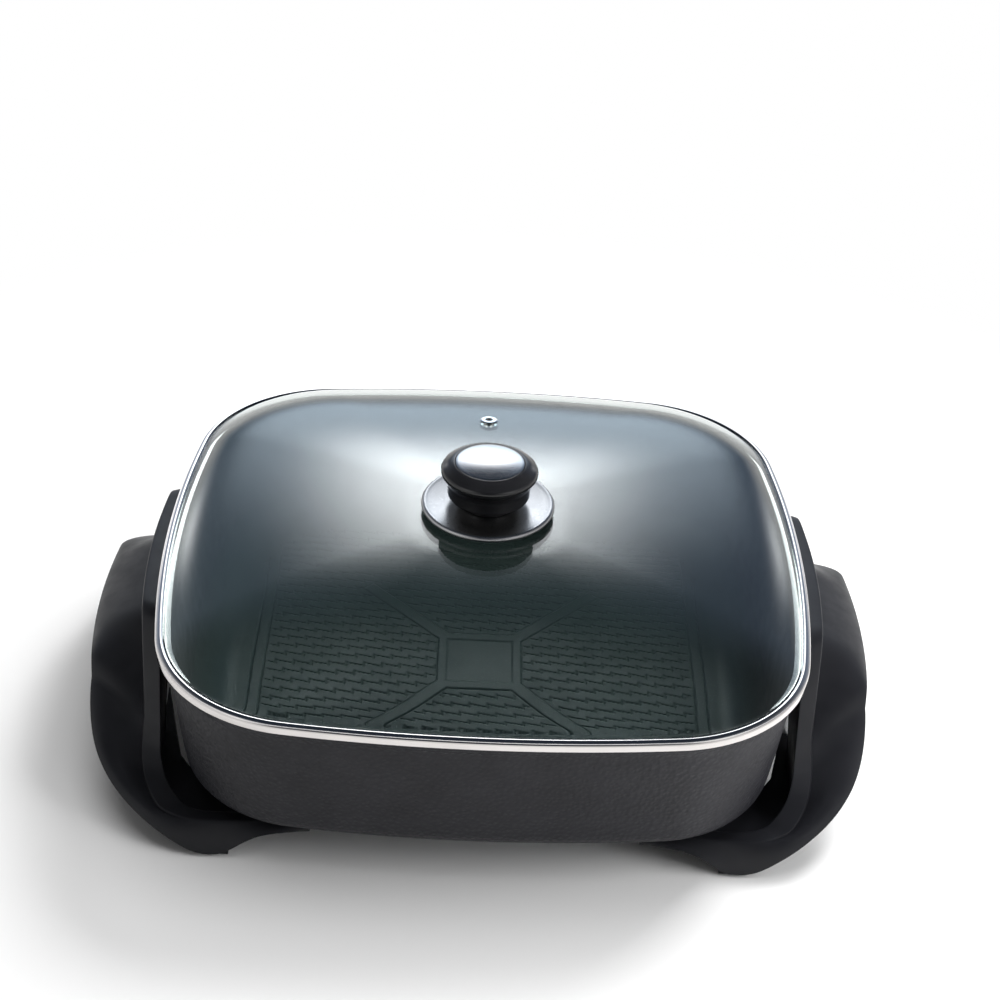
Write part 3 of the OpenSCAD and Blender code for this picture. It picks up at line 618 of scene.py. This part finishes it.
# the outer face: where it leaves the raised band, the height that it bends at, and its edge
FACE_TOP = [(0, 73), (0.4, 73), (0.5, 71), (0.6, 65.5), (0.7, 60), (0.8, 54), (0.9, 48.5),
            (1, 42.5), (1.15, 33.5), (1.35, WEB_Z + 8), (1.7, WEB_Z + 0.5), (2, WEB_Z - 0.6),
            (3, WEB_Z - 0.6)]
FACE_BEND = [(0, 65), (0.45, 65), (0.6, 65), (0.7, 64.5), (0.8, 62.5), (0.9, 58.5), (1, 52.5),
             (1.1, 46), (1.25, 38.5), (1.5, 30), (1.75, 21.5), (2, 12), (2.2, 11), (2.42, 14.5),
             (2.66, 17), (3, 18)]
FACE_EDGE = [(0, 57), (0.84, 57), (0.94, 54), (1.05, 46.5), (1.12, 41.5), (1.18, 37), (1.25, 32.5),
             (1.5, 24), (1.65, 18.5), (1.83, 10), (1.92, 5.2), (1.98, 2), (2.2, 2), (2.3, 5.7),
             (2.42, 10.2), (2.54, 13.2), (2.66, 14.4), (3, 14.6)]
OUTER_FOOT = [(0, TOP_Z - 54), (0.5, TOP_Z - 53.5), (0.9, TOP_Z - 51), (1, TOP_Z - 51),
              (1.25, WEB_Z + 13), (1.5, WEB_Z + 5), (1.75, 14), (1.92, 4), (1.98, 0.4),
              (2.2, 0.4), (2.3, 4.5), (2.42, 9), (2.54, 12), (2.66, 13), (3, 13.3)]
INNER_FOOT = [(0, TOP_Z - 58), (0.44, TOP_Z - 60), (0.56, 20), (0.66, LEDGE_LOW),
              (3, LEDGE_LOW)]
# x plus y along the gusset's slanting edge, and the part of the route that it fills
GUSSET_REACH, GUSSET_FROM, GUSSET_TO = 227.0, 0.23, 2.5


def plan_point(route, s, bow_back=0.0):
    """The route's point at s, in the front right quarter."""
    x, bow, y_turn, r, y_end = route
    side = x - bow
    if s <= 1:
        return np.array([side + bow * (1 - s * s), -y_turn * s])
    if s <= 2:
        t = math.pi / 2 * (s - 1)
        return np.array([side - r * (1 - math.cos(t)), -y_turn - (y_end - y_turn) * math.sin(t)])
    return np.array([side - r + (TIP_X - side + r) * (s - 2), bow_back * (s - 2) ** 2 - y_end])


def height(table, s):
    """The table at s, smoothed so that its corners turn gently."""
    at = [abs(s + d) for d in np.linspace(-0.09, 0.09, 9)]
    weight = np.array([1, 2, 4, 6, 7, 6, 4, 2, 1], float)
    values = np.interp(at, [p[0] for p in table], [p[1] for p in table])
    return float(np.sum(values * weight) / weight.sum())


def bracket_section(s):
    """The moulding's closed section at s: its raised band, outer face and hollow inside."""
    inner, outer = plan_point(ROUTE_IN, s), plan_point(ROUTE_OUT, s, TIP_BOW)
    width = np.linalg.norm(outer - inner)
    way = (outer - inner) / width
    raised = min(RAISED_W, width * 0.5)
    ledge = max(width * 0.72, width - 8)
    wall = min(MOULDING_T, width * 0.3)
    z_top = height(RAISED_TOP, s)
    z_step, z_bend, z_edge = (height(table, s) for table in (FACE_TOP, FACE_BEND, FACE_EDGE))
    z_step = min(z_step, z_top - 0.6)
    z_out, z_in = min(height(OUTER_FOOT, s), z_edge - 1), height(INNER_FOOT, s)
    # the outer face is one convex sweep from the raised band's crease to its edge
    crease, bend, edge = (np.array(p) for p in ((raised + 0.8, z_step), (ledge + 1.5, z_bend),
                                                (width, z_edge)))
    face = [(1 - t) ** 2 * crease + 2 * t * (1 - t) * bend + t * t * edge
            for t in np.linspace(0, 1, 12)]
    inside = rounded([(width - 2.0, z_out), (width - 2.0 - wall, z_out),
                      (width - 2.0 - wall, min(z_edge, z_bend - wall)),
                      (ledge - 2, min(z_bend, z_step) - wall), (wall, z_step - wall),
                      (wall, z_in), (0, z_in)], 1.0)
    top = rounded([(0, z_in), (0, z_top), (raised, z_top), tuple(crease)], 1.2, 4, False)[1:-1]
    return [[*(inner + way * d), z] for d, z in top + face + inside]


def gusset():
    """Outline of the plate that fills a corner under the pan, right-hand side, front."""
    def in_wall(s):
        inner, outer = plan_point(ROUTE_IN, s), plan_point(ROUTE_OUT, s, TIP_BOW)
        return inner + 2 * (outer - inner) / np.linalg.norm(outer - inner)

    loop = [(162.6, -20.0), (161.7, -24.6), (159.6, -33.0), (157.0, -45.0), (153.7, -59.0),
            (149.8, -74.6), (GUSSET_REACH - 82.0, -82.0),
            (GUSSET_REACH - LEG_Y + LEG_D, LEG_D - LEG_Y)]
    return loop + [tuple(in_wall(s)) for s in np.linspace(GUSSET_TO, GUSSET_FROM, 10)]


def make_bracket(name, sign, replaces):
    steps = np.linspace(-3, 3, 241)
    rings = []
    for s in steps:
        section = np.array(bracket_section(abs(s)))
        if s < 0:
            section[:, 1] *= -1
        section[:, 0] *= sign
        rings.append(section)
    build = Build()
    build.add(*skin(rings, cap_first=True, cap_last=True))
    pad = rounded([(-0.5, 0), (2.5 - LEG_D, 0), (2.5 - LEG_D, 5), (5 - LEG_D, 9), (-0.5, 9)], 0.5)
    for sy in (-1, 1):
        rings = [[[sign * x, -sy * (LEG_D - LEG_Y + y), z] for y, z in pad]
                 for x in (FOOT_X - FOOT_W / 2, FOOT_X + FOOT_W / 2)]
        build.add(*skin(rings, cap_first=True, cap_last=True))
        build.add(*skin([[[sign * x, -sy * y, z] for x, y in gusset()]
                         for z in (LEDGE_LOW, LEDGE_Z)], cap_first=True, cap_last=True))
        x, y = sign * SCREW_XY[0], sy * SCREW_XY[1]
        boss(build, x, y, LEDGE_LOW, SHELF_Z, BOSS_R)
        shelf = rounded([(-BOSS_R, LEDGE_LOW), (BOSS_R, LEDGE_LOW), (BOSS_R, SHELF_Z),
                         (-BOSS_R, SHELF_Z)], 0.5)
        sweep(build, [(x, y), (x, sy * (LEG_Y - LEG_D + 2))], shelf, 0)
    obj = build.object(name)
    dress(obj, "base", "moulding", replaces=replaces)


make_bracket("bracket_moulding_left", -1, "left_bracket")
make_bracket("bracket_moulding_right", 1, "right_bracket")


# ---------------------------------------------------------------- lid

GLASS_EDGE_Z = LID_Z + BAND_T + BAND_FIT
DOME_IN = BAND_GRIP + 0.8 - LID_OVERHANG
DOME_LAST = math.acos(SEAT_HALF / (HALF[0] - DOME_IN))
GLASS_TOP = GLASS_EDGE_Z + GLASS_T + DOME_H * math.sin(DOME_LAST)
BAND_H = GLASS_T + 2 * (BAND_T + BAND_FIT)
RIM_SLOPE, RIM_SLOPE_W, HOLE_R = 0.6, 7.0, 4.0
LIP_IN = LID_OVERHANG + RIM_W + LIP_DROP * (RIM_FLARE + WALL_T - RIM_W) / FLARE_H + LID_GAP


def make_glass():
    """The dome, its flat edge inside the band and the hole for the knob's fixing."""
    turns = outline_turns(90)
    edge_in = BAND_T + BAND_FIT - LID_OVERHANG

    def dome(inset, z):
        """The glass leaves its rim at an even slope before the dome proper begins."""
        rings = []
        for c in DOME_LAST * np.linspace(0, 1, 40) ** 1.15:
            near_rim = math.exp(-HALF[0] * (1 - math.cos(c)) / RIM_SLOPE_W)
            rise = DOME_H * math.sin(c) * (1 - RIM_SLOPE * near_rim)
            rings.append(ring(turns, inset, z + rise, math.cos(c)))
        return rings

    outside = dome(DOME_IN, GLASS_EDGE_Z + GLASS_T)
    inside = dome(DOME_IN + 0.5, GLASS_EDGE_Z)
    low, high = GLASS_EDGE_Z, GLASS_EDGE_Z + GLASS_T
    edge = [ring(turns, edge_in + 0.3, low), ring(turns, edge_in, low + 0.3),
            ring(turns, edge_in, high - 0.3), ring(turns, edge_in + 0.3, high)]
    angle = np.arctan2(outside[-1][:, 1], outside[-1][:, 0])
    hole_top = np.c_[HOLE_R * np.cos(angle), HOLE_R * np.sin(angle),
                     np.full(len(angle), GLASS_TOP)]
    hole_low = hole_top - (0, 0, GLASS_T)
    build = Build()
    build.add(*skin([hole_low] + inside[::-1] + edge + outside + [hole_top], along=True))
    obj = build.object("glass_dome", math.radians(50))
    dress(obj, "lid", "glass", replaces="lid_glass")


def make_band():
    """The rolled steel band, with the lip that drops inside the pan's rim."""
    turns = outline_turns(120)
    lip = -LIP_IN
    roll = [(-2.6 + 2.6 * math.cos(t), 3.0 + 2.3 * math.sin(t))
            for t in np.radians(np.linspace(4, 104, 16))]
    section = rounded([(-0.5, 0), (0, 0.5)], 0.1, 1, False) + roll
    section += [(-BAND_GRIP, BAND_H - 0.35), (-BAND_GRIP - 0.1, BAND_H - BAND_T),
                (-BAND_T, BAND_H - BAND_T), (-BAND_T, BAND_T), (lip - BAND_T, BAND_T),
                (lip - BAND_T, -LIP_DROP + 0.2), (lip - 0.3, -LIP_DROP),
                (lip, -LIP_DROP + 0.2), (lip, 0)]
    rings = [ring(turns, -x - LID_OVERHANG, LID_Z + z) for x, z in section]
    build = Build()
    build.add(*skin(rings, along=True))
    obj = build.object("rim_band")
    dress(obj, "lid", "trim", replaces="lid_rim_band")


make_glass()
make_band()


# ---------------------------------------------------------------- knob

PLATE_Z = GLASS_TOP + 4.0
KNOB_Z = PLATE_Z + 0.8
PLATE_R, ROLL = 34.0, 1.7
NECK_R, NECK_H, COLLAR_R, COLLAR_H, CAP_R, CAP_H = 14.9, 4.2, 20.9, 8.3, 24.6, 11.0
DISC_R, DISC_CROWN, DISC_SINK = 17.4, 1.7, 2.5


def make_plate():
    roll_z = PLATE_Z + 1.2 - ROLL
    cx = PLATE_R - ROLL
    profile = [(3.0, PLATE_Z), (PLATE_R - 2.4 * ROLL, PLATE_Z), (cx - 0.6, PLATE_Z + 0.35)]
    profile += arc(cx, roll_z, ROLL - 0.8, 90, -150, 14)
    profile += arc(cx, roll_z, ROLL, -150, 90, 24)
    profile += [(cx - 0.8, PLATE_Z + 1.1), (PLATE_R - 2.4 * ROLL, PLATE_Z + 0.8),
                (3.0, PLATE_Z + 0.8)]
    build = Build()
    build.add(*skin(lathe(profile), along=True))
    dress(build.object("knob_dish"), "lid", "satin", replaces="knob_plate")


def make_knob():
    rise = NECK_H + COLLAR_H
    disc, bore = DISC_R + 0.3, 4.6
    profile = [(bore, 0), (NECK_R - 0.5, 0), (NECK_R, 0.5), (NECK_R + 0.1, NECK_H - 1.0)]
    profile += arc(NECK_R + 1.1, NECK_H - 1.0, 1.0, 180, 90, 5)[1:]
    profile += arc(COLLAR_R - 2, NECK_H + 2, 2, -90, 0, 8)
    profile += [(COLLAR_R, rise - 1.0), (COLLAR_R + 0.15, rise - 0.3)]
    profile += arc(CAP_R - 2.7, rise + CAP_H - 4.9, 2.7, -50, 68, 16)
    profile += [(22.0, rise + CAP_H - 1.7), (20.2, rise + CAP_H - 0.75),
                (disc + 0.8, rise + CAP_H - 0.05), (disc + 0.2, rise + CAP_H),
                (disc, rise + CAP_H - 0.3), (disc, rise + CAP_H - DISC_SINK),
                (0.01, rise + CAP_H - DISC_SINK), (0.01, 13.9), (bore, 13.9)]
    build = Build()
    build.add(*skin(lathe([(r, KNOB_Z + z) for r, z in profile]), along=True))
    dress(build.object("knob_grip"), "lid", "knob", replaces="knob_body")


def make_disc():
    top = KNOB_Z + NECK_H + COLLAR_H + CAP_H
    edge = top + 0.2
    ball = (DISC_R ** 2 + DISC_CROWN ** 2) / (2 * DISC_CROWN)
    last = math.degrees(math.asin(DISC_R / ball))
    dome = [(ball * math.sin(math.radians(a)), edge + DISC_CROWN - ball
             + ball * math.cos(math.radians(a))) for a in np.linspace(last - 0.4, 0.05, 24)]
    profile = [(0.01, top - DISC_SINK), (DISC_R, top - DISC_SINK), (DISC_R, edge - 0.35),
               (DISC_R - 0.1, edge - 0.1)] + dome
    build = Build()
    build.add(*skin(lathe(profile), cap_first=True, cap_last=True))
    dress(build.object("knob_cap_disc"), "lid", "disc", replaces="knob_disc")


make_plate()
make_knob()
make_disc()


# ---------------------------------------------------------------- nodes kept as they are

KEPT = {"bracket_screws": "fixing", "bracket_washers": "fixing", "heating_element": "sheath",
        "terminal_insulators": "ceramic", "terminal_pins": "fixing", "probe_sleeve": "brass",
        "terminal_guard": "guard", "guard_screws": "fixing", "guard_washers": "fixing",
        "vent_eyelet": "bright", "knob_upper_gasket": "gasket", "knob_insert": "brass",
        "knob_lower_gasket": "gasket", "knob_washer": "fixing", "knob_screw": "fixing"}
for name, mat in KEPT.items():
    mats = nodes[name].data.materials
    if len(mats):
        for i in range(len(mats)):
            mats[i] = MATERIALS[mat]
    else:
        mats.append(MATERIALS[mat])


# ---------------------------------------------------------------- floor and light

FLOOR_FADE = (0.26, 0.58)
HORIZON_FROM, HORIZON_W = 6, 8


def make_floor():
    """A pale floor that turns into the white backdrop away from the object."""
    size = 12.0
    mesh = bpy.data.meshes.new("floor")
    mesh.from_pydata([(-size, -size, 0), (size, -size, 0), (size, size, 0), (-size, size, 0)],
                     [], [(0, 1, 2, 3)])
    obj = new_object("floor", mesh)
    mat, shader = material("floor", (0.90, 0.90, 0.90), 0.85, Specular_IOR_Level=0.1)
    coord = node(mat, "ShaderNodeTexCoord")
    far = node(mat, "ShaderNodeVectorMath", operation="LENGTH")
    link(mat, coord.outputs["Object"], far.inputs[0])
    fade = node(mat, "ShaderNodeMapRange", interpolation_type="SMOOTHSTEP")
    fade.inputs["From Min"].default_value, fade.inputs["From Max"].default_value = FLOOR_FADE
    link(mat, far.outputs["Value"], fade.inputs["Value"])
    path = node(mat, "ShaderNodeLightPath")
    seen = node(mat, "ShaderNodeMath", operation="MAXIMUM")
    link(mat, path.outputs["Is Camera Ray"], seen.inputs[0])
    through = node(mat, "ShaderNodeMath", operation="MAXIMUM")
    link(mat, path.outputs["Is Transmission Ray"], through.inputs[0])
    link(mat, path.outputs["Is Glossy Ray"], through.inputs[1])
    link(mat, through.outputs["Value"], seen.inputs[1])
    both = node(mat, "ShaderNodeMath", operation="MULTIPLY")
    link(mat, seen.outputs["Value"], both.inputs[0])
    link(mat, fade.outputs["Result"], both.inputs[1])
    white = node(mat, "ShaderNodeEmission", Strength=1.0)
    mix = node(mat, "ShaderNodeMixShader")
    link(mat, both.outputs["Value"], mix.inputs["Fac"])
    link(mat, shader.outputs["BSDF"], mix.inputs[1])
    link(mat, white.outputs["Emission"], mix.inputs[2])
    link(mat, mix.outputs["Shader"], mat.node_tree.nodes["Material Output"].inputs["Surface"])
    mesh.materials.append(mat)


def area(name, at, target, size, power):
    """A square lamp that only lights: no ray sees it."""
    data = bpy.data.lights.new(name, "AREA")
    data.size = size
    data.energy = power
    obj = bpy.data.objects.new(name, data)
    obj.location = at
    obj.rotation_euler = (Vector(target) - Vector(at)).to_track_quat("-Z", "Y").to_euler()
    obj.visible_camera = obj.visible_glossy = obj.visible_transmission = False
    bpy.context.scene.collection.objects.link(obj)


WHITE, BLUE, DEEP = (1.0, 1.0, 1.0), (0.77, 0.89, 1.0), (0.5, 0.68, 1.0)
FILL, BACKDROP = 0.18, 0.95
# what mirrors see in the studio: azimuth from the back to the right, elevation, widths,
# strength, colour and how sharp the border is
SKY = ((0, 45, 500, 500, 0.05, DEEP, 2),
       (-0.2, 30.7, 6.4, 4.5, 5.9, WHITE, 2.2),
       (0.5, 22.1, 18, 10.4, 1.7, BLUE, 5.2),
       (2, 20, 42, 18, 0.32, DEEP, 4),
       (33, 13, 2.6, 4, 1.8, WHITE, 2),
       (-33, 13, 2.6, 4, 2.4, WHITE, 2),
       (85, 20, 30, 16, 0.35, WHITE, 2),
       (-85, 18, 30, 14, 0.7, WHITE, 2),
       (130, 30, 16, 12, 1.2, WHITE, 2),
       (-130, 30, 16, 12, 1.2, WHITE, 2))


def make_world():
    """A white studio: bright behind the object, a softbox there, dimmer above and in front."""
    world = bpy.data.worlds.new("studio")
    bpy.context.scene.world = world
    world.use_nodes = True
    tree = world.node_tree
    tree.nodes.clear()

    def new(kind, **values):
        return node(world, kind, **values)

    def math_node(operation, a, b=None):
        made = new("ShaderNodeMath", operation=operation)
        for i, value in enumerate((a, b)):
            if value is None:
                continue
            if isinstance(value, (int, float)):
                made.inputs[i].default_value = value
            else:
                tree.links.new(value, made.inputs[i])
        return made.outputs["Value"]

    coord = new("ShaderNodeTexCoord")
    split = new("ShaderNodeSeparateXYZ")
    tree.links.new(coord.outputs["Generated"], split.inputs["Vector"])
    x, y, z = (split.outputs[k] for k in "XYZ")
    azimuth = math_node("MULTIPLY", math_node("ARCTAN2", x, y), 180 / math.pi)
    elevation = math_node("MULTIPLY", math_node("ARCSINE", z), 180 / math.pi)

    def blob(az, el, wide, tall, strength, color, edge):
        """A soft light in the studio; a higher edge makes its border sharper."""
        da = math_node("DIVIDE", math_node("ABSOLUTE", math_node("SUBTRACT", azimuth, az)), wide)
        de = math_node("DIVIDE", math_node("ABSOLUTE", math_node("SUBTRACT", elevation, el)), tall)
        d = math_node("ADD", math_node("POWER", da, 2), math_node("POWER", de, 2))
        d = math_node("POWER", d, edge / 2)
        value = math_node("MULTIPLY", math_node("EXPONENT", math_node("MULTIPLY", d, -0.5)),
                          strength)
        made = new("ShaderNodeVectorMath", operation="SCALE")
        made.inputs[0].default_value = color
        tree.links.new(value, made.inputs["Scale"])
        return made.outputs["Vector"]

    light = blob(*SKY[0])
    for spot in SKY[1:]:
        total = new("ShaderNodeVectorMath", operation="ADD")
        tree.links.new(light, total.inputs[0])
        tree.links.new(blob(*spot), total.inputs[1])
        light = total.outputs["Vector"]

    def mix(share, first, second):
        made = new("ShaderNodeMixRGB")
        for socket, value in zip(("Fac", "Color1", "Color2"), (share, first, second)):
            if isinstance(value, tuple):
                made.inputs[socket].default_value = value
            else:
                tree.links.new(value, made.inputs[socket])
        return made.outputs["Color"]

    # mirrors see the studio, and mirrors and glass the backdrop near the horizon; the camera
    # sees the backdrop everywhere
    path = new("ShaderNodeLightPath")
    glossy, through = path.outputs["Is Glossy Ray"], path.outputs["Is Transmission Ray"]
    over = math_node("SUBTRACT", elevation, HORIZON_FROM)
    near = math_node("SUBTRACT", 1.0, math_node("DIVIDE", over, HORIZON_W))
    near = math_node("MINIMUM", math_node("MAXIMUM", near, 0.0), 1.0)
    near = math_node("MULTIPLY", math_node("MAXIMUM", glossy, through), near)
    seen = mix(glossy, (FILL, FILL, FILL, 1), light)
    seen = mix(near, seen, (BACKDROP, BACKDROP, BACKDROP, 1))
    seen = mix(path.outputs["Is Camera Ray"], seen, (1, 1, 1, 1))
    studio = new("ShaderNodeBackground")
    tree.links.new(seen, studio.inputs["Color"])
    out = new("ShaderNodeOutputWorld")
    tree.links.new(studio.outputs["Background"], out.inputs["Surface"])


make_floor()
make_world()
area("key", (0.75, 0.85, 1.35), (0, 0, 0.05), 0.8, 33)
area("top", (-0.1, 0.1, 1.8), (0, 0, 0), 1.4, 15)
area("side", (1.0, -0.42, 0.55), (0, 0, 0.05), 0.8, 10.5)

view = bpy.context.scene.view_settings
view.view_transform = "Standard"

bpy.context.view_layer.update()
